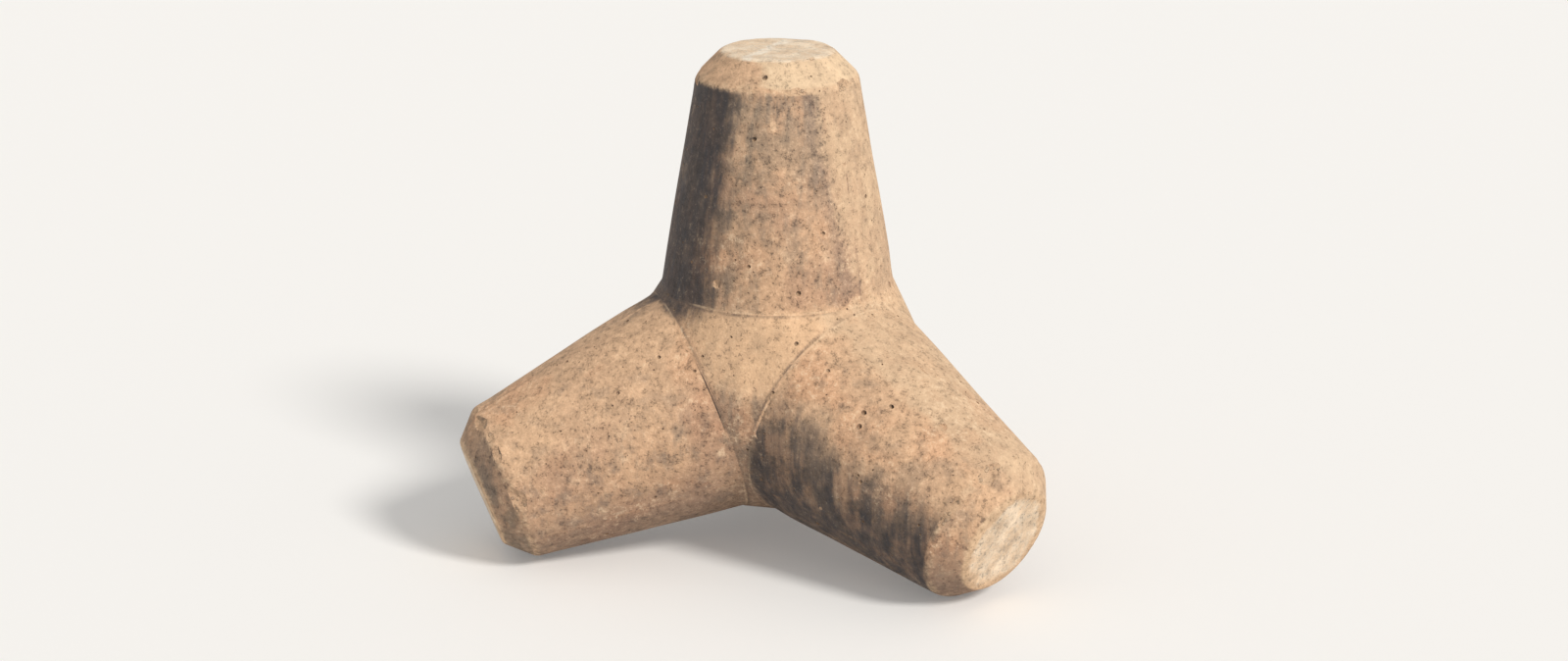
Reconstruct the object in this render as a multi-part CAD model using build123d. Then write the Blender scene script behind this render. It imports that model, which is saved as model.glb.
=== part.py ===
from build123d import *

import os
from itertools import combinations
from math import acos, cos, pi, sin, tan

# Concrete tetrapod, an armour unit for breakwaters and sea walls, cast in one pour.
# Four equal conical legs point to the corners of a regular tetrahedron and grow together in a
# hub that stays convex between them.
# The origin is the point where the four leg axes meet, which is also the centre of mass.
# One leg stands up along +Z, one low leg points straight back along +Y, and the front is -Y.

# Driving dimensions, in millimetres and degrees
LEG_REACH = 1449.0  # from the origin to the end face of a leg
TIP_RADIUS = 340.0  # radius of the bare cone at the end face, before its edge is chamfered
LEG_DRAFT = 10.0  # slope of the cone against the leg's axis, so that the mould strips
END_CHAMFER = 95.0  # width that the chamfer takes off the radius of the end face
CHAMFER_ANGLE = 45.0  # slope of the chamfer against the end face
VALLEY_WIDTH = 28.0  # width of hub left between two legs where they come closest
BACK_LEG_AZIMUTH = 90.0  # direction of the low leg at the back, about Z from +X

# Angles are in radians from here on
FULL_TURN = 2.0 * pi
DRAFT_SLOPE = tan(LEG_DRAFT * FULL_TURN / 360.0)
CHAMFER_SLOPE = tan(CHAMFER_ANGLE * FULL_TURN / 360.0)
AXIS_SPREAD = acos(-1.0 / 3.0)  # between any two of the four axes of a regular tetrahedron

# The shoulder is the circle where a leg's cone meets the hub.
# The shoulders of two legs mirror each other in the plane that halves the valley between them,
# and their nearest points are VALLEY_WIDTH apart. That sets how far out the shoulder lies.
HALF_SPREAD = AXIS_SPREAD / 2.0
HUB_RADIUS = TIP_RADIUS + LEG_REACH * DRAFT_SLOPE  # of the bare cone, run on to the origin
SHOULDER_REACH = (VALLEY_WIDTH / 2.0 + HUB_RADIUS * cos(HALF_SPREAD)) / (
    sin(HALF_SPREAD) + DRAFT_SLOPE * cos(HALF_SPREAD)
)
SHOULDER_RADIUS = HUB_RADIUS - SHOULDER_REACH * DRAFT_SLOPE

# The rim is the circle where the cone meets the chamfer round the end face
FACE_RADIUS = TIP_RADIUS - END_CHAMFER
CHAMFER_DEPTH = END_CHAMFER / (1.0 / CHAMFER_SLOPE - DRAFT_SLOPE)
RIM_REACH = LEG_REACH - CHAMFER_DEPTH
RIM_RADIUS = TIP_RADIUS + CHAMFER_DEPTH * DRAFT_SLOPE


def leg_axes():
    """Unit vectors along the four legs, the upright one first."""
    axes = [Vector(0, 0, 1)]
    for index in range(3):
        azimuth = BACK_LEG_AZIMUTH * FULL_TURN / 360.0 + index * FULL_TURN / 3.0
        level = sin(AXIS_SPREAD)
        axes.append(Vector(level * cos(azimuth), level * sin(azimuth), cos(AXIS_SPREAD)))
    return axes


def leg(axis):
    """One leg: a straight cone with a chamfered flat end, turned about its own axis."""
    profile = Polyline(
        (0, 0, SHOULDER_REACH),
        (SHOULDER_RADIUS, 0, SHOULDER_REACH),
        (RIM_RADIUS, 0, RIM_REACH),
        (FACE_RADIUS, 0, LEG_REACH),
        (0, 0, LEG_REACH),
        close=True,
    )
    upright = revolve(make_face(profile), axis=Axis.Z)
    return Plane(origin=(0, 0, 0), z_dir=axis) * upright


def shoulder_point(axis, toward, across, angle):
    """Point of a leg's shoulder circle at an angle from the side that faces another leg."""
    outward = toward * cos(angle) + across * sin(angle)
    return axis * SHOULDER_REACH + outward * SHOULDER_RADIUS


def side_toward(axis, other):
    """Unit vector square to a leg's axis, on the side of the leg that faces another leg."""
    return (other - axis * axis.dot(other)).normalized()


def shoulder_arc(axis, other, across):
    """The third of a leg's shoulder circle that faces another leg."""
    toward = side_toward(axis, other)
    ends = FULL_TURN / 6.0
    points = [shoulder_point(axis, toward, across, angle) for angle in (-ends, 0.0, ends)]
    return Edge.make_three_point_arc(*points)


def hub(axes):
    """The body between the legs: the tightest convex skin round the four shoulder circles.

    Straight lines between mirrored arcs make a curved strip in each of the six valleys.
    The strips leave four flat triangles, each facing away from one leg.
    Each shoulder circle is closed by a flat face, on which its leg stands.
    """
    arcs = {}
    faces = []
    for first, second in combinations(range(4), 2):
        across = axes[first].cross(axes[second]).normalized()
        arcs[first, second] = shoulder_arc(axes[first], axes[second], across)
        arcs[second, first] = shoulder_arc(axes[second], axes[first], across)
        faces.append(Face.make_surface_from_curves(arcs[first, second], arcs[second, first]))
    for index, axis in enumerate(axes):
        others = [other for other in range(4) if other != index]
        corners = [
            axes[other] * SHOULDER_REACH - side_toward(axes[other], axis) * SHOULDER_RADIUS
            for other in others
        ]
        faces.append(Face(Wire.make_polygon(corners)))
        faces.append(Face(Wire([arcs[index, other] for other in others])))
    return Solid(Shell(faces))


def tetrapod():
    """The whole casting, as one solid."""
    axes = leg_axes()
    return hub(axes).fuse(*[leg(axis).solid() for axis in axes]).clean().solid()


os.makedirs("parts", exist_ok=True)
casting = tetrapod()
casting.label = "tetrapod"
export_step(casting, "parts/tetrapod.step")

box = casting.bounding_box()
print("volume m3", round(casting.volume / 1e9, 4))
print("height mm", round(box.size.Z, 1), "plan mm", round(box.size.X, 1), round(box.size.Y, 1))
print("lowest point below the origin mm", round(-box.min.Z, 2))
print("shoulder reach and radius mm", round(SHOULDER_REACH, 2), round(SHOULDER_RADIUS, 2))
print("rim reach and radius mm", round(RIM_REACH, 2), round(RIM_RADIUS, 2))
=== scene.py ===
import math
import random

import bmesh
import bpy
from mathutils import Matrix, Vector, noise


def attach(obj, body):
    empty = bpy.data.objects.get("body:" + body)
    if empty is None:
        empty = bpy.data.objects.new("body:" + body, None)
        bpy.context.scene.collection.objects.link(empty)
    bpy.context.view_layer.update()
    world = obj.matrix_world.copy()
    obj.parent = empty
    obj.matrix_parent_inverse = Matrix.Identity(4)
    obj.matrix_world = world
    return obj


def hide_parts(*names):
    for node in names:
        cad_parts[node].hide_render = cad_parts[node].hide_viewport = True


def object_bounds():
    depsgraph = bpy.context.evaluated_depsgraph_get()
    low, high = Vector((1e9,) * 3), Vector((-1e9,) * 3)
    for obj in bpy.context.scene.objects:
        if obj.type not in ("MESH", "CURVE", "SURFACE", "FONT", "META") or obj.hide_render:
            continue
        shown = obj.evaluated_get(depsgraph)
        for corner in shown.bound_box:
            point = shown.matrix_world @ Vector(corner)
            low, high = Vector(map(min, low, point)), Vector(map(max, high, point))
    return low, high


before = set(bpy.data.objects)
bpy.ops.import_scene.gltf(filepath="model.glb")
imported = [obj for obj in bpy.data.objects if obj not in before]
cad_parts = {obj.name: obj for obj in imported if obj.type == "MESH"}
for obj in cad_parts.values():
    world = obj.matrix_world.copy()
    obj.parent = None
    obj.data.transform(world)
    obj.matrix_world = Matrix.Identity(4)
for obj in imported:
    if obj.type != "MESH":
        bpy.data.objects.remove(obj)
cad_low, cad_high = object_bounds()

# The camera
# It stands where the photograph was taken from: 13 m off, a little right of the unit's front and
# well above it, so that the top face shows as a thin ellipse. A longer lens fills the frame.
camera_azimuth = math.radians(14.7)
camera_distance = 12.7
camera_height = 4.12
look_at = Vector((0.03, 0.0, 0.16))
camera = bpy.data.objects.new("camera", bpy.data.cameras.new("camera"))
bpy.context.scene.collection.objects.link(camera)
camera.location = (
    camera_distance * math.sin(camera_azimuth),
    -camera_distance * math.cos(camera_azimuth),
    camera_height,
)
camera.rotation_euler = (look_at - camera.location).to_track_quat("-Z", "Y").to_euler()
camera.data.lens = 68.0
camera.data.clip_end = 200.0
bpy.context.scene.camera = camera

# The casting
# A tetrapod is one lump of plain concrete, poured in a bolted steel mould of four equal shells.
# Its four legs are the same cone with a chamfered end, and the hub is stretched straight between
# the shoulders of the legs.
leg_reach = cad_high.z
tip_radius = 0.340
draft_angle = 10.0
chamfer_angle = 45.0
draft = math.tan(math.radians(draft_angle))
end_chamfer = 0.095
valley_width = 0.028
axis_spread = math.acos(-1.0 / 3.0)
axis_gap = math.sqrt(8.0 / 3.0)  # between the tips of two unit vectors that are so spread
low_leg_azimuths = [math.radians(angle) for angle in (90.0, 210.0, 330.0)]

hub_radius = tip_radius + leg_reach * draft
half_spread = axis_spread / 2.0
shoulder_reach = (valley_width / 2.0 + hub_radius * math.cos(half_spread)) / (
    math.sin(half_spread) + draft * math.cos(half_spread)
)
shoulder_radius = hub_radius - shoulder_reach * draft
chamfer_depth = end_chamfer / (1.0 - draft)
face_radius = tip_radius - end_chamfer
rim_reach = leg_reach - chamfer_depth
rim_radius = tip_radius + chamfer_depth * draft

columns = 144  # round a leg, a multiple of six, so that every mould joint falls on an edge
cone_rows = 42
chamfer_rows = 7
face_rows = 11
strip_rows = 14
centre_radius = 0.012  # of the innermost ring of an end face, which closes to a point
same_place = 1e-4  # two places nearer than this are one
weld_distance = 2e-4

upright = Vector((0, 0, 1))
leg_axes = [upright] + [
    Vector((math.sin(axis_spread) * math.cos(turn), math.sin(axis_spread) * math.sin(turn), -1 / 3))
    for turn in low_leg_azimuths
]
low_leg_turns = [Matrix.Rotation(math.pi, 4, upright + axis) for axis in leg_axes[1:]]


def deselect_all():
    """Clears the selection in object mode."""
    bpy.ops.object.select_all(action="DESELECT")


def choose(piece):
    """Makes a piece the only selected one and the active one."""
    deselect_all()
    piece.select_set(True)
    bpy.context.view_layer.objects.active = piece


def edit(piece):
    """Opens a piece in edit mode, with nothing else selected."""
    choose(piece)
    bpy.ops.object.mode_set(mode="EDIT")


def select_vertices(piece, wanted):
    """Selects the vertices of the piece in edit mode that pass a test of their place."""
    bpy.ops.mesh.select_mode(type="VERT")
    bpy.ops.mesh.select_all(action="DESELECT")
    net = bmesh.from_edit_mesh(piece.data)
    for vertex in net.verts:
        if wanted(vertex.co):
            vertex.select = True
    net.select_flush(True)
    bmesh.update_edit_mesh(piece.data)


def turned_copies(piece):
    """Copies of a piece of the upright leg, turned onto the low legs, each with its own mesh."""
    copies = []
    for turn in low_leg_turns:
        copy = bpy.data.objects.new(piece.name, piece.data.copy())
        copy.data.transform(turn)
        bpy.context.scene.collection.objects.link(copy)
        copies.append(copy)
    return copies


def join(pieces, name):
    """Joins pieces into the first one and names it."""
    deselect_all()
    for piece in pieces:
        piece.select_set(True)
    bpy.context.view_layer.objects.active = pieces[0]
    bpy.ops.object.join()
    pieces[0].name = name
    return pieces[0]


def upright_leg():
    """The upright leg, open at the shoulder, with rows close enough to carry its surface detail."""
    deselect_all()
    bpy.ops.mesh.primitive_circle_add(vertices=columns, radius=shoulder_radius)
    leg = bpy.context.object
    edit(leg)
    bpy.ops.transform.translate(value=(0, 0, shoulder_reach))
    rings = [
        (rim_radius, rim_reach, cone_rows),
        (face_radius, leg_reach, chamfer_rows),
        (centre_radius, leg_reach, face_rows),
    ]
    lower_radius = shoulder_radius
    lower_reach = shoulder_reach
    for radius, reach, rows in rings:
        bpy.ops.mesh.primitive_circle_add(vertices=columns, radius=radius, location=(0, 0, reach))
        ends = ((lower_radius, lower_reach), (radius, reach))

        def on_either_ring(place):
            level = math.hypot(place.x, place.y)
            return any(
                abs(level - end_radius) < same_place and abs(place.z - end_reach) < same_place
                for end_radius, end_reach in ends
            )

        select_vertices(leg, on_either_ring)
        bpy.ops.mesh.bridge_edge_loops(number_cuts=rows - 1, interpolation="LINEAR")
        lower_radius, lower_reach = radius, reach
    select_vertices(leg, lambda place: math.hypot(place.x, place.y) < centre_radius + same_place)
    bpy.ops.mesh.merge(type="CENTER")
    bpy.ops.object.mode_set(mode="OBJECT")
    return leg


def hub_strips():
    """The six ruled strips of the hub, bridged between the shoulder circles of each two legs."""
    deselect_all()
    bpy.ops.mesh.primitive_circle_add(vertices=columns, radius=shoulder_radius)
    ring = bpy.context.object
    ring.data.transform(Matrix.Translation((0, 0, shoulder_reach)))
    strips = join([ring] + turned_copies(ring), "hub_strips")
    edit(strips)
    third = math.cos(math.radians(60.0)) - same_place  # each strip takes a third of a circle
    for first in range(4):
        for second in range(first + 1, 4):
            toward = [
                (leg_axes[b] - leg_axes[a] * leg_axes[a].dot(leg_axes[b])).normalized()
                for a, b in ((first, second), (second, first))
            ]
            centres = [leg_axes[a] * shoulder_reach for a in (first, second)]

            def on_facing_arc(place):
                for centre, side, axis in zip(centres, toward, (leg_axes[first], leg_axes[second])):
                    spoke = place - centre
                    level = abs(spoke.dot(axis)) < same_place
                    if level and spoke.dot(side) > third * shoulder_radius:
                        return True
                return False

            select_vertices(strips, on_facing_arc)
            bpy.ops.mesh.bridge_edge_loops(number_cuts=strip_rows - 1, interpolation="LINEAR")
    bpy.ops.object.mode_set(mode="OBJECT")
    return strips


def hub_triangle():
    """The flat triangle under the hub, which faces away from the upright leg."""
    corner = leg_axes[1] * shoulder_reach - (
        upright - leg_axes[1] * leg_axes[1].z
    ).normalized() * shoulder_radius
    deselect_all()
    bpy.ops.mesh.primitive_circle_add(
        vertices=3, radius=math.hypot(corner.x, corner.y), fill_type="NGON"
    )
    triangle = bpy.context.object
    edit(triangle)
    bpy.ops.transform.translate(value=(0, 0, corner.z))
    bpy.ops.mesh.subdivide(number_cuts=strip_rows - 1)
    bpy.ops.object.mode_set(mode="OBJECT")
    return triangle


leg = upright_leg()
triangle = hub_triangle()
casting = join(
    [leg, triangle, hub_strips()] + turned_copies(leg) + turned_copies(triangle),
    "tetrapod_casting",
)
edit(casting)
bpy.ops.mesh.select_all(action="SELECT")
bpy.ops.mesh.remove_doubles(threshold=weld_distance)
bpy.ops.mesh.normals_make_consistent(inside=False)
bpy.ops.object.mode_set(mode="OBJECT")

# The mould's joints
# The steel mould is four shells, which meet along the side of each leg that faces another leg,
# and each leg's cone is bolted to the hub's plates at the shoulder. Grout creeps into these joints
# and leaves a broken fin, and the shells never line up quite true.
fin_width = 0.012
fin_height = 0.0035
shoulder_stretch = 0.30  # length of the stretches in which the shoulders' fins stay or break off
shell_stretch = 0.14  # the same for the fins between two shells
shell_fin_fades = (1.2, 1.3)  # reaches between which the fins between two shells end
tight_valley = 0.09  # difference of reach along two legs up to which a valley has no fin
open_valley = 0.15  # and from which its fins have their full height
rim_clearance = 0.05  # kept between a shell's joint and the rim
shell_set_back = (0.1, 0.75, 0.4, 1.0)
set_back_depth = 0.0035
set_back_run = 0.1  # in which a set-back runs out below the rim
collar_depth = 0.0055
collar_lip = 0.02
collar_run = 0.17
on_joint = 2e-4  # a place nearer to a joint than this is on it
past_joint = 1e-3


def reaches(place):
    """How far a place lies out along each leg, the farthest first."""
    return sorted((place.dot(axis) for axis in leg_axes), reverse=True)


def joint_gap(place):
    """How far a place lies from the nearest joint between two shells."""
    out = reaches(place)
    return (out[2] - out[3]) / axis_gap


def select_edges(piece, wanted):
    """Selects the edges of the piece in edit mode of which both ends pass a test of their place."""
    bpy.ops.mesh.select_mode(type="EDGE")
    bpy.ops.mesh.select_all(action="DESELECT")
    net = bmesh.from_edit_mesh(piece.data)
    for edge in net.edges:
        edge.select = all(wanted(vertex.co) for vertex in edge.verts)
    bmesh.update_edit_mesh(piece.data)


def rise(value, low, high):
    """Smooth step from 0 at low to 1 at high."""
    share = min(max((value - low) / (high - low), 0.0), 1.0)
    return share * share * (3.0 - 2.0 * share)


def lumps(place, size, seed):
    """Smooth noise from about -1 to 1 in lumps of about the size."""
    return 1.5 * noise.noise(place / size + Vector((3.7 * seed, 11.3 * seed, -7.1 * seed)))


def weigh(piece, name, weight):
    """Adds a vertex group whose weight at each place comes from a function of the place."""
    group = piece.vertex_groups.new(name=name)
    for vertex in piece.data.vertices:
        share = weight(vertex.co)
        if share > 0.0:
            group.add([vertex.index], min(share, 1.0), "REPLACE")


def displace(piece, name, strength, group="", texture=None, mid_level=0.0):
    """Moves the surface of the piece out along its normals and applies that."""
    mover = piece.modifiers.new(name, "DISPLACE")
    mover.strength = strength
    mover.mid_level = mid_level
    mover.vertex_group = group
    mover.texture = texture
    choose(piece)
    bpy.ops.object.modifier_apply(modifier=name)


def clouds(name, size, depth):
    """A soft noise with lumps of about the size."""
    texture = bpy.data.textures.new(name, "CLOUDS")
    texture.noise_scale = size
    texture.noise_depth = depth
    return texture


def at_shoulder(place):
    """Whether a place is on a shoulder, clear of the tight valleys."""
    out = reaches(place)
    return abs(out[0] - shoulder_reach) < on_joint and out[0] - out[1] > tight_valley


def at_shell_joint(place):
    """Whether a place is on a joint between two shells, clear of the rim."""
    return joint_gap(place) < on_joint and reaches(place)[0] < rim_reach - rim_clearance


def fin(place):
    """Height of the grout fin at a place on a joint, as a share of the most."""
    out = reaches(place)
    open_side = rise(out[0] - out[1], tight_valley, open_valley)
    if at_shoulder(place):
        kept = rise(lumps(place, shoulder_stretch, 1), -0.25, 0.35) * open_side
        return kept * (0.75 + 0.35 * lumps(place, 0.03, 2))
    if at_shell_joint(place):
        kept = rise(lumps(place, shell_stretch, 3), 0.05, 0.55)
        kept = kept * (1.0 - rise(out[0], *shell_fin_fades)) * open_side
        return kept * (0.5 + 0.3 * lumps(place, 0.035, 4))
    return 0.0


def set_back(place):
    """How far a shell stood back from its neighbours, as a share of the most."""
    out = reaches(place)[0]
    if out > rim_reach + past_joint:
        return 0.0
    shells = sorted(range(4), key=lambda number: place.dot(leg_axes[number]))[:2]
    if joint_gap(place) > on_joint:
        shells = shells[:1]
    back = sum(shell_set_back[number] for number in shells) / len(shells)
    return back * (1.0 - rise(out, rim_reach - set_back_run, rim_reach))


def collar(place):
    """How far a leg's cone lies back from the hub's plates, as a share of the most."""
    out = reaches(place)[0]
    if out < shoulder_reach + past_joint:
        return 0.0
    uneven = 0.3 + 0.7 * rise(lumps(place, 0.6, 7), -0.35, 0.3)
    return uneven * (1.0 - rise(out, shoulder_reach + collar_lip, shoulder_reach + collar_run))


edit(casting)
for at_joint in (at_shoulder, at_shell_joint):
    select_edges(casting, at_joint)
    bpy.ops.mesh.bevel(offset=fin_width / 2.0, segments=2, profile=1.0, affect="EDGES")
bpy.ops.object.mode_set(mode="OBJECT")
for name, depth, weight in (
    ("set_back", -set_back_depth, set_back),
    ("collar", -collar_depth, collar),
    ("fins", fin_height, fin),
):
    weigh(casting, name, weight)
    displace(casting, name, depth, group=name)

# Its plates and its poured end
# The shells' steel plates are dented from use, so the cast sides wave a little. The end of the
# upright leg was the pouring hole, and its face was struck off and trowelled by hand.
plate_wave = 0.006
dent_size = 0.40
poured_end_wave = 0.009
trowel_width = 0.13
below_end = 0.012  # that far down a place still belongs to the upright leg's end face
displace(casting, "plates", plate_wave, texture=clouds("dents", dent_size, 1), mid_level=0.85)
weigh(casting, "poured_end", lambda place: float(place.z > leg_reach - below_end))
displace(
    casting, "trowelling", poured_end_wave,
    group="poured_end", texture=clouds("trowel_passes", trowel_width, 2), mid_level=0.8,
)

# Knocked edges
# The units grate on each other, on the crane's slings and on the rubble, so the rims of their
# ends are worn round, with nicks all along and a few flakes out of them down to the stones.
rim_wear = 0.019
face_wear = 0.015
rim_lean = math.radians((draft_angle + chamfer_angle) / 2.0)  # of its outward direction
face_lean = math.radians((chamfer_angle + 90.0) / 2.0)
rim_edge = (rim_reach, rim_radius, rim_lean)
face_edge = (leg_reach, face_radius, face_lean)
wave_reach = 0.012  # how far the waves may have moved a vertex of a circle along the leg
wave_radius = 0.009  # and square to it
chance = random.Random(41)


def on_circle(reach, radius):
    """A test for places on one circle round each leg."""

    def test(place):
        out = reaches(place)[0]
        level = math.sqrt(max(place.length_squared - out * out, 0.0))
        return abs(out - reach) < wave_reach and abs(level - radius) < wave_radius

    return test


def around_leg(axis, angle):
    """The direction square to a leg's axis at an angle round it."""
    return Matrix.Rotation(angle, 3, axis) @ axis.orthogonal().normalized()


def mark_faces(piece, mark, share):
    """Gives every face of the piece a mark, which a cut carries over to the faces it makes."""
    marks = piece.data.attributes.new(mark, "FLOAT", "FACE")
    for face in marks.data:
        face.value = share


def rough_stone(kind, fineness):
    """A lumpy gritty ball about 1 m in radius; its place in the noise makes each kind different."""
    kind_spacing = 5.0
    deselect_all()
    bpy.ops.mesh.primitive_ico_sphere_add(
        subdivisions=fineness, radius=1.0, location=(kind_spacing * kind, 0.0, 0.0)
    )
    stone = bpy.context.object
    for name, texture, strength in (("lumps", lumpy, 0.42), ("grit", gritty, 0.13)):
        mover = stone.modifiers.new(name, "DISPLACE")
        mover.texture = texture
        mover.texture_coords = "GLOBAL"
        mover.strength = strength
        bpy.ops.object.modifier_apply(modifier=name)
    mark_faces(stone, "broken", 1.0)
    return stone


def bite(stone, centre, push, side, size):
    """A copy of a stone, flattened and turned to bite into the casting against the push."""
    copy = bpy.data.objects.new("bite", stone.data.copy())
    bpy.context.scene.collection.objects.link(copy)
    turn = Matrix((side, push.cross(side), push)).transposed().to_4x4()
    copy.data.transform(Matrix.Translation(centre) @ turn @ Matrix.Diagonal(size).to_4x4())
    return copy


def cut_away(piece, cutters, name):
    """Takes the cutters out of the piece and removes them."""
    cutter = join(cutters, name)
    cut = piece.modifiers.new(name, "BOOLEAN")
    cut.operation = "DIFFERENCE"
    cut.solver = "MANIFOLD"
    cut.object = cutter
    choose(piece)
    bpy.ops.object.modifier_apply(modifier=name)
    bpy.data.objects.remove(cutter)


edit(casting)
for reach, radius, wear in ((rim_reach, rim_radius, rim_wear), (leg_reach, face_radius, face_wear)):
    select_edges(casting, on_circle(reach, radius))
    bpy.ops.mesh.bevel(offset=wear, segments=3, profile=0.5, affect="EDGES")
bpy.ops.mesh.select_all(action="SELECT")
bpy.ops.mesh.quads_convert_to_tris(quad_method="SHORTEST_DIAGONAL")
bpy.ops.object.mode_set(mode="OBJECT")

# Places on the sides, read while the skin is whole and sorted, as faces come in any order
sides_end = 1.43  # reach, just short of the end faces
whole_faces = [face for face in casting.data.polygons if reaches(face.center)[0] < sides_end]
whole_faces.sort(key=lambda face: sorted(face.vertices))
spot_areas = [face.area for face in whole_faces]
spots = [
    (casting.data.vertices[min(face.vertices)].co.copy(), face.normal.copy())
    for face in whole_faces
]

mark_faces(casting, "broken", 0.0)
small_kinds = range(6)
large_kinds = range(6, 11)
lumpy = clouds("lumpy", 0.45, 3)
gritty = bpy.data.textures.new("gritty", "VORONOI")
gritty.noise_scale = 0.2
small_stones = [rough_stone(kind, fineness=3) for kind in small_kinds]
large_stones = [rough_stone(kind, fineness=4) for kind in large_kinds]

# Which edge, how many on each leg, least and most half length of the stone that bites
knocks = (
    ("nicks_in_rim", small_stones, rim_edge, 24, 0.024, 0.060),
    ("nicks_in_face", small_stones, face_edge, 16, 0.020, 0.046),
    ("flakes_in_rim", large_stones, rim_edge, 4, 0.070, 0.170),
    ("more_flakes_in_rim", large_stones, rim_edge, 4, 0.060, 0.120),
    ("flakes_in_face", large_stones, face_edge, 3, 0.045, 0.090),
)
knock_jitter = (0.1, 0.9)  # where a knock may lie in its share of the circle
tilt_spread = 0.12
twist_spread = 0.35
small_favoured = 1.8  # above 1, most knocks are near the least size
knock_width = (0.35, 0.7)  # as a share of the half length, and so the next two
knock_thickness = 0.30
knock_depth = (0.06, 0.12)
worn_depth = 0.0025  # that much deeper, as the edge is worn round
ground_clearance = 0.10  # an edge nearer to the ground has no knocks
knocked = []  # the middle and half length of each, to keep the air holes clear of it
for name, kinds, (edge_reach, edge_radius, lean), count, least, most in knocks:
    stones = []
    for axis in leg_axes:
        for number in range(count):
            around = around_leg(axis, (number + chance.uniform(*knock_jitter)) / count * math.tau)
            tilt = lean + chance.gauss(0.0, tilt_spread)
            push = axis * math.sin(tilt) + around * math.cos(tilt)
            twist = Matrix.Rotation(chance.gauss(0.0, twist_spread), 3, push)
            side = twist @ axis.cross(around)
            half = least + (most - least) * chance.random() ** small_favoured
            size = Vector((half, half * chance.uniform(*knock_width), half * knock_thickness))
            depth = half * chance.uniform(*knock_depth) + worn_depth
            centre = axis * edge_reach + around * edge_radius + push * (size.z - depth)
            if centre.z > cad_low.z + ground_clearance:
                stones.append(bite(chance.choice(kinds), centre, push, side, size))
                knocked.append((centre, half))
    cut_away(casting, stones, name)

# A few stones near the skin have popped out of each leg
pop_count = 6
pop_margin = 0.1  # kept from the shoulder and from the rim
pop_half = (0.016, 0.034)
pop_width = (0.6, 0.9)  # as a share of the half length
pop_thickness = 0.5
pop_standing = 0.25  # share of its thickness by which the stone's middle stood out of the skin
pops = []
for axis in leg_axes:
    for number in range(pop_count):
        around = around_leg(axis, (number + chance.uniform(*knock_jitter)) / pop_count * math.tau)
        out = chance.uniform(shoulder_reach + pop_margin, rim_reach - pop_margin)
        half = chance.uniform(*pop_half)
        push = (around + axis * draft).normalized()
        size = Vector((half, half * chance.uniform(*pop_width), half * pop_thickness))
        cone_radius = rim_radius + (rim_reach - out) * draft
        centre = axis * out + around * cone_radius + push * size.z * pop_standing
        pops.append(bite(chance.choice(small_stones), centre, push, axis.cross(around), size))
        knocked.append((centre, half))
cut_away(casting, pops, "popped_stones")

# Air holes
# Air that was trapped against the steel plates leaves round holes with crisp lips all over the
# cast sides, most of them as small as a fingertip. None lies in another or in a knocked place.
hole_count = 380
hole_least = 0.0045  # radius
hole_range = 0.0085  # that the largest holes are wider
hole_stretch = (0.8, 1.3)
hole_height = 1.2
hole_standing = (0.1, 0.5)  # share of its radius by which a bubble's middle lies out of the skin
hole_room = 1.5  # radii kept free round a hole
deselect_all()
bpy.ops.mesh.primitive_ico_sphere_add(subdivisions=2, radius=1.0)
bubble = bpy.context.object
mark_faces(bubble, "hole", 1.0)
mark_faces(casting, "hole", 0.0)

bubbles = []
for spot, push in chance.choices(spots, weights=spot_areas, k=hole_count):
    hole = hole_least + hole_range * chance.random() ** 3
    size = Vector((hole * chance.uniform(*hole_stretch), hole, hole * hole_height))
    centre = spot + push * hole * chance.uniform(*hole_standing)
    if all((centre - other).length > half + hole_room * hole for other, half in knocked):
        bubbles.append(bite(bubble, centre, push, push.orthogonal().normalized(), size))
        knocked.append((centre, hole_room * hole))
cut_away(casting, bubbles, "air_holes")
for spare in small_stones + large_stones + [bubble]:
    bpy.data.objects.remove(spare)

crease = math.radians(20.0)  # an edge that folds by more stays sharp
choose(casting)
bpy.ops.object.shade_smooth_by_angle(angle=crease)

# The concrete
# It is plain concrete, sandy and tan, bare since it left the mould. The side that faces the weather,
# to the right of the camera, is bleached and washed smooth and paler still with painted sunlight;
# the lee side is dark with rain streaks and with painted shade; and the flat ends and all that lies
# open to the sky are pale, the top end and the upright leg's top on the lit side with painted
# sunlight.
# Sizes are in metres. The two numbers in a step are the values between which a mask comes in, and
# a share is how strongly a colour covers what lies under it.


def colour(red, green, blue):
    """A colour for a socket, from its levels as a screen shows them."""
    levels = [level / 255.0 for level in (red, green, blue)]
    return [
        level / 12.92 if level <= 0.04045 else ((level + 0.055) / 1.055) ** 2.4 for level in levels
    ] + [1.0]


class Reading:
    """A value in a finish. Arithmetic with it adds the Math nodes."""

    def __init__(self, finish, socket):
        self.finish = finish
        self.socket = socket

    def maths(self, operation, first, second):
        return self.finish.node("ShaderNodeMath", {"operation": operation}, {0: first, 1: second})

    def __add__(self, other):
        return self.maths("ADD", self, other)

    def __radd__(self, other):
        return self.maths("ADD", other, self)

    def __sub__(self, other):
        return self.maths("SUBTRACT", self, other)

    def __rsub__(self, other):
        return self.maths("SUBTRACT", other, self)

    def __mul__(self, other):
        return self.maths("MULTIPLY", self, other)

    def __rmul__(self, other):
        return self.maths("MULTIPLY", other, self)

    def __truediv__(self, other):
        return self.maths("DIVIDE", self, other)

    def __pow__(self, other):
        return self.maths("POWER", self, other)


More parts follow.
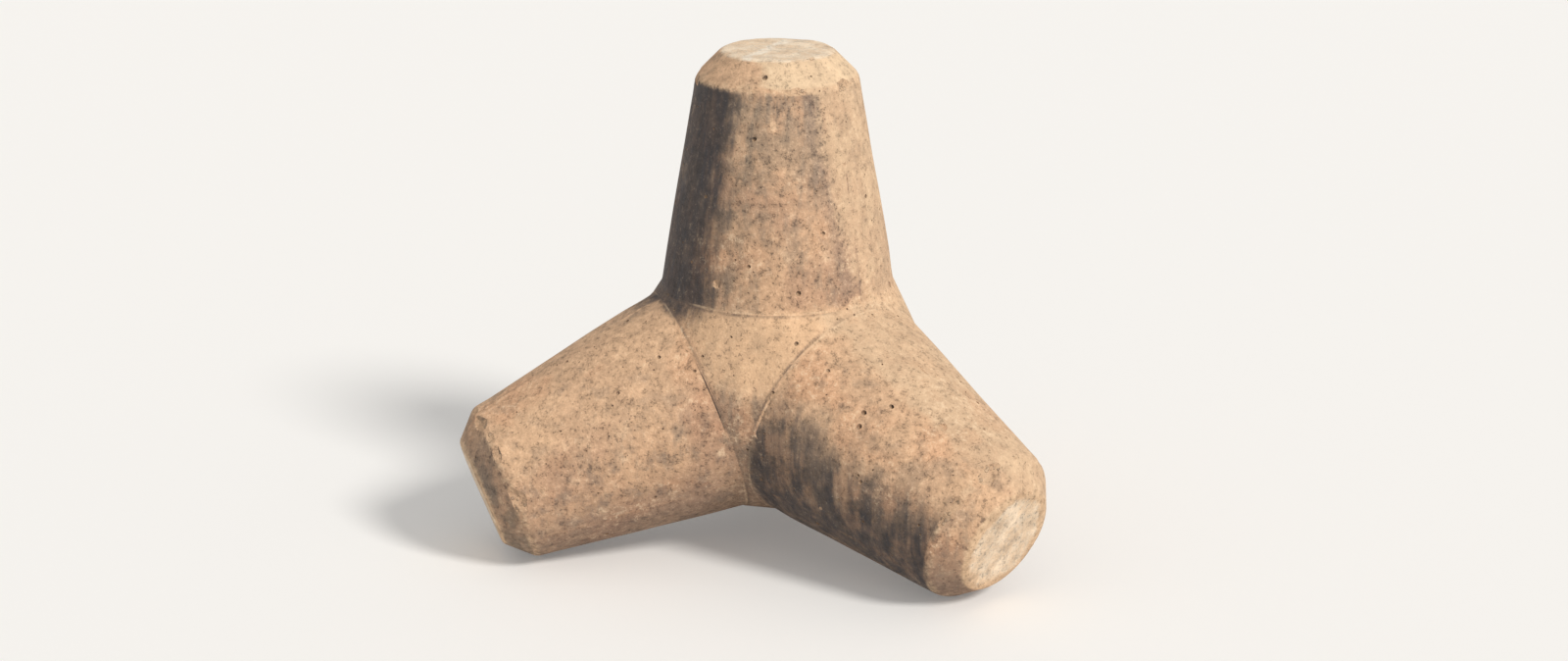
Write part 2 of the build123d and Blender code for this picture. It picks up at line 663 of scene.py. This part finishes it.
class Finish:
    """A material and the one way in which nodes are added to it."""

    def __init__(self, name):
        self.material = bpy.data.materials.new(name)
        self.material.use_nodes = True
        self.tree = self.material.node_tree
        self.shader = self.tree.nodes["Principled BSDF"]

    def node(self, kind, settings, inputs, *outputs):
        """Adds a node, sets it, gives its sockets their values or links, and reads its outputs."""
        made = self.tree.nodes.new(kind)
        for name, value in settings.items():
            setattr(made, name, value)
        for name, value in inputs.items():
            if isinstance(value, Reading):
                self.tree.links.new(value.socket, made.inputs[name])
            else:
                made.inputs[name].default_value = value
        readings = [Reading(self, made.outputs[name]) for name in outputs or (0,)]
        return readings[0] if len(readings) == 1 else readings

    def feed(self, name, reading):
        """Links a reading to a socket of the shader."""
        self.tree.links.new(reading.socket, self.shader.inputs[name])


concrete = Finish("weathered_concrete")


def greater(first, second):
    """The larger of a reading and another or a number."""
    return first.maths("MAXIMUM", first, second)


def lesser(first, second):
    """The smaller of a reading and another or a number."""
    return first.maths("MINIMUM", first, second)


def dot(first, second):
    """How far one vector reaches along another."""
    return concrete.node(
        "ShaderNodeVectorMath", {"operation": "DOT_PRODUCT"}, {0: first, 1: second}, "Value"
    )


def step(value, low, high):
    """Smooth step of a reading from 0 at low to 1 at high."""
    return concrete.node(
        "ShaderNodeMapRange",
        {"interpolation_type": "SMOOTHSTEP"},
        {"Value": value, "From Min": low, "From Max": high},
    )


def stretched(places, across, along):
    """Places in which a pattern comes out wider or taller: its size across, and along Z."""
    return concrete.node(
        "ShaderNodeVectorMath",
        {"operation": "MULTIPLY"},
        {0: places, 1: (1.0 / across, 1.0 / across, 1.0 / along)},
    )


def patches(places, size, detail, roughness, outputs=()):
    """Cloudy patches, 0 to 1, of about a size."""
    return concrete.node(
        "ShaderNodeTexNoise",
        {},
        {"Vector": places, "Scale": 1.0 / size, "Detail": detail, "Roughness": roughness},
        *outputs,
    )


def channel(colours, index):
    """One channel of a pattern's colours, as a pattern of its own."""
    return concrete.node("ShaderNodeSeparateColor", {}, {0: colours}, index)


def laid_over(under, over, share):
    """One colour over another by a share."""
    return concrete.node("ShaderNodeMix", {"data_type": "RGBA"}, {0: share, 6: under, 7: over}, 2)


def shaded(under, factor):
    """A colour made lighter or darker by a factor."""
    return concrete.node("ShaderNodeVectorMath", {"operation": "SCALE"}, {0: under, "Scale": factor})


# Where a spot lies on the casting
# The reaches along the four legs add up to nothing, and their squares to 4/3 of the squared
# distance from the origin. So the farthest and the least give the two between, and those give the
# distance from the nearest joint of two shells.
place, facing = concrete.node("ShaderNodeTexCoord", {}, {}, "Object", "Normal")
along = [dot(place, tuple(axis)) for axis in leg_axes]
reach = greater(greater(along[0], along[1]), greater(along[2], along[3]))
away = lesser(lesser(along[0], along[1]), lesser(along[2], along[3]))
square = dot(place, place)
from_axis = greater(square - reach * reach, 0.0) ** 0.5
middle_sum = (reach + away) * -1.0
middle_squares = square * (4.0 / 3.0) - reach * reach - away * away
middle_gap = greater(middle_squares * 2.0 - middle_sum * middle_sum, 0.0) ** 0.5
lower_middle = (middle_sum - middle_gap) * 0.5
shell_joint = (lower_middle - away) / axis_gap
skyward = dot(facing, (0.0, 0.0, 1.0))
height = dot(place, (0.0, 0.0, 1.0))


def from_camera(turn, lift):
    """A direction by its turn to the right of the camera and its lift, both in degrees."""
    azimuth = camera_azimuth + math.radians(turn)
    rise_angle = math.radians(lift)
    level = math.cos(rise_angle)
    return (math.sin(azimuth) * level, -math.cos(azimuth) * level, math.sin(rise_angle))


# Patterns, from sand to clouds, and the runs of rain down steep sides
both = ("Fac", "Color")
sand = patches(place, size=0.009, detail=3.0, roughness=0.7)
grit = patches(place, size=0.028, detail=3.0, roughness=0.65)
blotch, blotch_colours = patches(place, size=0.085, detail=4.0, roughness=0.62, outputs=both)
cloud, cloud_colours = patches(place, size=0.33, detail=3.0, roughness=0.55, outputs=both)
blotch_two = channel(blotch_colours, 1)
warm = channel(cloud_colours, 1)
damp = channel(cloud_colours, 2)
run = patches(stretched(place, across=1.0, along=8.0), size=0.030, detail=3.0, roughness=0.65)
wide_run = patches(stretched(place, across=1.0, along=4.0), size=0.11, detail=4.0, roughness=0.62)
ragged = (blotch - 0.5) * 0.22 + (grit - 0.5) * 0.18 + (sand - 0.5) * 0.10  # frays borders

# The colours, from the cast skin, its stains and its painted light and shade to the ends, the joints
# and the broken faces
tan = colour(186, 149, 121)
light_tan = colour(207, 168, 134)
grey_blotch = colour(152, 130, 113)
pale_blotch = colour(222, 190, 156)
ochre = colour(208, 152, 116)
rim_stain = colour(142, 126, 110)
rain_stain = colour(128, 115, 102)
tide_stain = colour(128, 111, 101)
sky_tan = colour(218, 180, 144)
sky_ochre = colour(226, 170, 130)
sky_damp = colour(174, 146, 122)
hub_sunlit_tan = colour(232, 192, 152)
bleached_and_sunlit = colour(215, 183, 149)
bleached_run = colour(198, 163, 131)
sunlit_crown_cream = colour(234, 206, 170)
underside_shade = colour(122, 108, 100)
half_lee_shade_and_stain = colour(132, 118, 102)
lee_shade_and_stain = colour(54, 51, 55)
end_tan = colour(212, 178, 143)
end_white = colour(244, 225, 200)
end_damp = colour(178, 158, 140)
swipe_white = colour(255, 247, 232)
top_sunlight_cream = colour(255, 238, 212)
joint_dirt_and_lip_shadow_colour = colour(120, 100, 86)
lip_crest_highlight = colour(228, 198, 164)
rim_sand = colour(216, 184, 150)
pale_grain = colour(238, 212, 178)
dark_pore = colour(88, 75, 68)
dark_stone = colour(128, 114, 102)
light_stone = colour(206, 180, 150)
mortar = colour(196, 162, 130)

# The upright leg's sides, and the weather side to the right of the camera, bleached and with painted
# sunlight, which narrows from the leg's top to its foot and is edged by a line of dirt
leg_foot = 0.45
leg_top = 1.33
upright_sides = step(height, 0.25, leg_foot) * (1.0 - step(skyward, 0.35, 0.5))
bleached_from = 0.41 + 0.24 * (leg_top - lesser(greater(height, leg_foot), leg_top))
light_and_weather = dot(facing, from_camera(turn=95.0, lift=25.0)) + (wide_run - 0.5) * 0.20 + ragged * 0.7
light_and_weather = light_and_weather + 0.28 * step(skyward, 0.4, 0.6) - bleached_from
sunlit_bleached_side = step(light_and_weather, -0.08, 0.07)
tide_line = step(light_and_weather, -0.26, -0.05) * (1.0 - sunlit_bleached_side)
below_rim = step(height, 0.60, 1.15) * upright_sides

# The lee side is dark with stain and with painted shade. It stays clear where it lies open to the
# sky, but its dark runs down over the shoulder
shade_and_lee = dot(facing, from_camera(turn=-100.0, lift=0.0))
shade_and_lee = shade_and_lee + (run - 0.5) * 0.26 + (wide_run - 0.5) * 0.34 + ragged
sky = skyward + (cloud - 0.5) * 0.35 + ragged * 1.2
open_to_sky = step(sky, 0.06, 0.50)
run_down = step(height, 0.24, 0.36) * (1.0 - step(height, 0.40, 0.48))
shaded_lee_side = step(shade_and_lee + 0.06 * below_rim, 0.23, 0.56)
shaded_lee_side = shaded_lee_side * (1.0 - step(sky, 0.30, 0.60) * (1.0 - run_down))

# The underside, which carries painted shade, the flat ends, and rain on what is neither flat nor
# hangs over
underside = step(skyward * -1.0 + (cloud - 0.5) * 0.4 + ragged, 0.15, 0.65)
flat_end = step(reach, leg_reach - 0.016, leg_reach - 0.008)
steep = (1.0 - step(skyward, 0.25, 0.6)) * (1.0 - step(skyward * -1.0, 0.3, 0.6))
rain_run = step(run * 0.5 + wide_run * 0.6 + blotch * 0.1, 0.57, 0.74) * steep

# The cast skin with its blotches, and the stains of rain on it
skin = laid_over(tan, light_tan, step(cloud, 0.36, 0.62))
skin = laid_over(skin, grey_blotch, step(blotch, 0.50, 0.70) * 0.60)
skin = laid_over(skin, pale_blotch, step(blotch_two, 0.54, 0.72) * 0.60)
skin = laid_over(skin, ochre, step(warm, 0.52, 0.68) * 0.38)
skin = laid_over(skin, rim_stain, below_rim * step(blotch + cloud, 0.85, 1.15) * 0.62)
skin = laid_over(skin, rain_stain, rain_run * (0.34 + 0.42 * below_rim))
skin = laid_over(skin, tide_stain, tide_line * upright_sides * (0.22 + 0.5 * wide_run))

# Paler where it lies open to the sky, and on the weather side bleached and with painted sunlight
skin = laid_over(skin, sky_tan, open_to_sky * (0.52 + 0.4 * blotch_two))
skin = laid_over(skin, sky_ochre, open_to_sky * step(warm, 0.50, 0.66) * 0.34)
skin = laid_over(skin, sky_damp, open_to_sky * step(damp + blotch, 0.98, 1.20) * 0.45)
# Painted sunlight on the hub's front, where it faces up
hub_front = (1.0 - step(reach, 0.34, 0.42)) * step(skyward, 0.10, 0.36)
skin = laid_over(skin, hub_sunlit_tan, hub_front * (0.40 + 0.5 * blotch_two))
bleach_and_sunlight_share = 0.60 + 0.36 * step(cloud + (blotch_two - 0.5) * 0.6, 0.40, 0.60)
skin = laid_over(skin, bleached_and_sunlit, sunlit_bleached_side * bleach_and_sunlight_share)
skin = laid_over(skin, bleached_run, sunlit_bleached_side * step(wide_run, 0.48, 0.66) * 0.42)
# Painted sunlight on the top of the upright leg's weather side
sunlit_crown = sunlit_bleached_side * step(skyward, 0.45, 0.68) * step(height, 1.26, 1.34)
skin = laid_over(skin, sunlit_crown_cream, sunlit_crown * 0.62)

# Painted shade underneath; half dark on the way to the lee side and darkest there, stain with
# painted shade, less on a chamfer
# Painted shade under the legs and hub, deeper in patches
skin = laid_over(skin, underside_shade, underside * (0.35 + 0.4 * damp))
half_lee = step(shade_and_lee, -0.06, 0.30)
half_lee = half_lee * (0.35 + 0.65 * step(wide_run + (blotch - blotch_two) * 0.6, 0.40, 0.60))
skin = laid_over(skin, half_lee_shade_and_stain, half_lee * (1.0 - open_to_sky) * 0.66)
on_chamfer = step(reach, rim_reach - 0.02, rim_reach + 0.02)
lee_shade_and_stain_share = 0.60 + 0.36 * run + 0.22 * wide_run - 0.20 * step(cloud + wide_run, 1.06, 1.26)
lee_shade_and_stain_share = lee_shade_and_stain_share * (1.0 - 0.70 * on_chamfer)
# Stain together with painted shade on the side away from the light
skin = laid_over(skin, lee_shade_and_stain, shaded_lee_side * lee_shade_and_stain_share)

# The flat ends: whitened in the middle, with a ring of bare tan inside the edge. The top one has
# a pale swipe across it and painted sunlight over all of it.
swipe_across = (0.983, -0.179, 0.0)
trowelled = patches(place, size=0.16, detail=2.0, roughness=0.5)
on_top = step(height, 1.42, 1.43)
white_reach = from_axis + (blotch - 0.5) * 0.10 + (cloud - 0.5) * 0.08 - 0.034 * on_top
whitened = 1.0 - step(white_reach, 0.195, 0.225)
end_colour = laid_over(end_tan, end_white, whitened * (0.75 + 0.5 * (trowelled - 0.5)))
damp_end = step(damp * 0.5 + blotch * 0.5, 0.53, 0.64)
end_colour = laid_over(end_colour, end_damp, damp_end * 0.36)
swipe = dot(place, swipe_across) + 0.04 + (blotch - 0.5) * 0.05
swiped = (1.0 - step(greater(swipe, swipe * -1.0), 0.014, 0.034)) * on_top
end_colour = laid_over(end_colour, swipe_white, swiped * (0.40 + 0.6 * grit))
# Painted sunlight on the top end face
end_colour = laid_over(end_colour, top_sunlight_cream, on_top * 0.32)
skin = laid_over(skin, end_colour, flat_end * 0.96)

# Dirt beside the shells' joints, painted shadow under the lips and painted highlights on their
# crests, all in stretches
lip = reach - shoulder_reach
lip_shadow = step(lip, -0.020, -0.007) * (1.0 - step(lip, -0.006, -0.002))
on_lip = step(lip, -0.004, 0.0) * (1.0 - step(lip, 0.003, 0.008)) * step(blotch, 0.38, 0.60)
left_of_camera = step(dot(facing, from_camera(turn=-60.0, lift=0.0)), -0.1, 0.6)
# The painted shadow under the lips is deeper on the side left of the camera
lip_shadow = lip_shadow * (0.45 * step(blotch + cloud, 0.95, 1.15) + 0.55 * left_of_camera)
beside_joint = (1.0 - step(shell_joint, 0.002, 0.009)) * (1.0 - step(reach, 1.24, 1.32))
joint_dirt_and_lip_shadow = greater(lip_shadow, beside_joint * step(warm, 0.45, 0.60) * (0.5 - 0.4 * sunlit_bleached_side))
skin = laid_over(skin, joint_dirt_and_lip_shadow_colour, joint_dirt_and_lip_shadow * step(grit, 0.30, 0.52) * 0.85)
# Painted highlight along the lips' crests
skin = laid_over(skin, lip_crest_highlight, on_lip * step(cloud, 0.42, 0.55) * 0.40)

# Worn rims show the sand of the mix
rim_gap = greater(reach - rim_reach, rim_reach - reach)
rims = 1.0 - step(lesser(rim_gap, leg_reach - 0.003 - reach), 0.006, 0.024)
skin = laid_over(skin, rim_sand, rims * step(grit + (blotch - 0.5), 0.40, 0.62) * 0.55)

# Sand grains and crumbs of lime that show light, pores that show dark
light_speck = step(sand * 0.65 + grit * 0.35, 0.57, 0.63)
crumbs = step(sand * 0.4 + grit * 0.6, 0.53, 0.61) * step(warm + blotch_two * 0.6, 0.84, 0.94)
dark_speck = 1.0 - step(sand * 0.5 + grit * 0.5, 0.365, 0.44)
# Fewer dark pores on the pale sides: the side with bleaching and painted sunlight, and what lies
# open to the sky
pale_washed_and_sunlit = greater(sunlit_bleached_side, open_to_sky * 0.8)
mottle = 0.45 * (sand - 0.5) + 1.0 * (grit - 0.5) + 0.55 * (blotch_two - blotch)
skin = shaded(skin, 1.0 + mottle * (1.0 - 0.40 * greater(sunlit_bleached_side, hub_front)))
specks = greater(light_speck * 0.30, crumbs * 0.50) * (1.0 - 0.55 * shaded_lee_side)
skin = laid_over(skin, pale_grain, specks)
skin = laid_over(skin, dark_pore, dark_speck * (0.42 - 0.24 * pale_washed_and_sunlit) * (1.0 - 0.5 * flat_end))

# Broken faces: stones of several colours in sandy mortar
stone_size = 0.021
stone_distance, stone_colours = concrete.node(
    "ShaderNodeTexVoronoi", {}, {"Vector": place, "Scale": 1.0 / stone_size}, "Distance", "Color"
)
stone_shape = (1.0 - step(stone_distance, 0.28, 0.46)) * step(channel(stone_colours, 1), 0.35, 0.45)
stone = laid_over(dark_stone, light_stone, channel(stone_colours, 0))
scar = laid_over(mortar, stone, stone_shape * 0.7)
scar = shaded(scar, 0.40 + 0.75 * sand + 0.45 * grit)
broken = concrete.node("ShaderNodeAttribute", {"attribute_name": "broken"}, {}, "Fac")
hole = concrete.node("ShaderNodeAttribute", {"attribute_name": "hole"}, {}, "Fac")
skin = laid_over(skin, scar, broken * 0.55)
# Painted shade inside the air holes
skin = shaded(skin, 1.0 - 0.40 * hole)
concrete.feed("Base Color", skin)

# It is matt, a little less so where damp keeps it dark
concrete.feed("Roughness", 0.95 - 0.16 * shaded_lee_side - 0.10 * rain_run + 0.10 * (sand - 0.5))

# The grain of the skin, in metres, with stones in the broken faces and trowel marks on the ends
relief = 0.0030 * sand + 0.0045 * grit - 0.0014 * dark_speck + 0.0012 * run * steep
relief = relief + (0.0050 * stone_shape + 0.004 * grit) * broken
relief = relief + 0.0045 * (trowelled - 0.5) * flat_end
grain = concrete.node("ShaderNodeBump", {}, {"Distance": 1.0, "Strength": 1.0, "Height": relief})
concrete.feed("Normal", grain)
casting.data.materials.clear()
casting.data.materials.append(concrete.material)

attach(casting, "root")
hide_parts("tetrapod")

# The floor and the light
# A plain pale floor that fades into a pale backdrop, one soft key lamp from the right and an even
# fill from all round, at a level at which a colour shows about as it is.
floor_size = 120.0
floor_colour = (0.80, 0.79, 0.77, 1.0)
floor_glow = (0.17, 0.168, 0.165, 1.0)  # added where the camera sees it, to fade into the backdrop
no_glow = (0.0, 0.0, 0.0, 1.0)
backdrop_level = 0.93
fill = 0.46
deselect_all()
bpy.ops.mesh.primitive_plane_add(size=floor_size, location=(0, 0, cad_low.z))
floor = bpy.context.object
floor.name = "floor"


def seen(finish):
    """1 for what the camera sees directly, in a mirror or through glass, and 0 for light."""
    rays = [
        finish.node("ShaderNodeLightPath", {}, {}, ray)
        for ray in ("Is Camera Ray", "Is Glossy Ray", "Is Transmission Ray")
    ]
    return greater(greater(rays[0], rays[1]), rays[2])


paint = Finish("floor_paint")
paint.shader.inputs["Base Color"].default_value = floor_colour
paint.shader.inputs["Roughness"].default_value = 1.0
paint.shader.inputs["Emission Strength"].default_value = 1.0
glow = paint.node(
    "ShaderNodeMix", {"data_type": "RGBA"}, {0: seen(paint), 6: no_glow, 7: floor_glow}, 2
)
paint.feed("Emission Color", glow)
floor.data.materials.append(paint.material)


class Backdrop(Finish):
    """The world takes nodes in the same way as a material."""

    def __init__(self, name):
        world = bpy.data.worlds.new(name)
        world.use_nodes = True
        bpy.context.scene.world = world
        self.tree = world.node_tree
        self.shader = self.tree.nodes["Background"]


backdrop = Backdrop("backdrop")
backdrop.shader.inputs["Color"].default_value = (1.0, 0.99, 0.975, 1.0)
backdrop.feed("Strength", fill + (backdrop_level - fill) * seen(backdrop))

key = bpy.data.objects.new("key_lamp", bpy.data.lights.new("key_lamp", "SUN"))
key.data.energy = 2.3
key.data.angle = math.radians(14.0)
key.data.color = (1.0, 0.975, 0.94)
bpy.context.scene.collection.objects.link(key)
towards_key = Vector(from_camera(turn=46.0, lift=39.0))
key.rotation_euler = (-towards_key).to_track_quat("-Z", "Y").to_euler()

bpy.context.scene.view_settings.view_transform = "Standard"
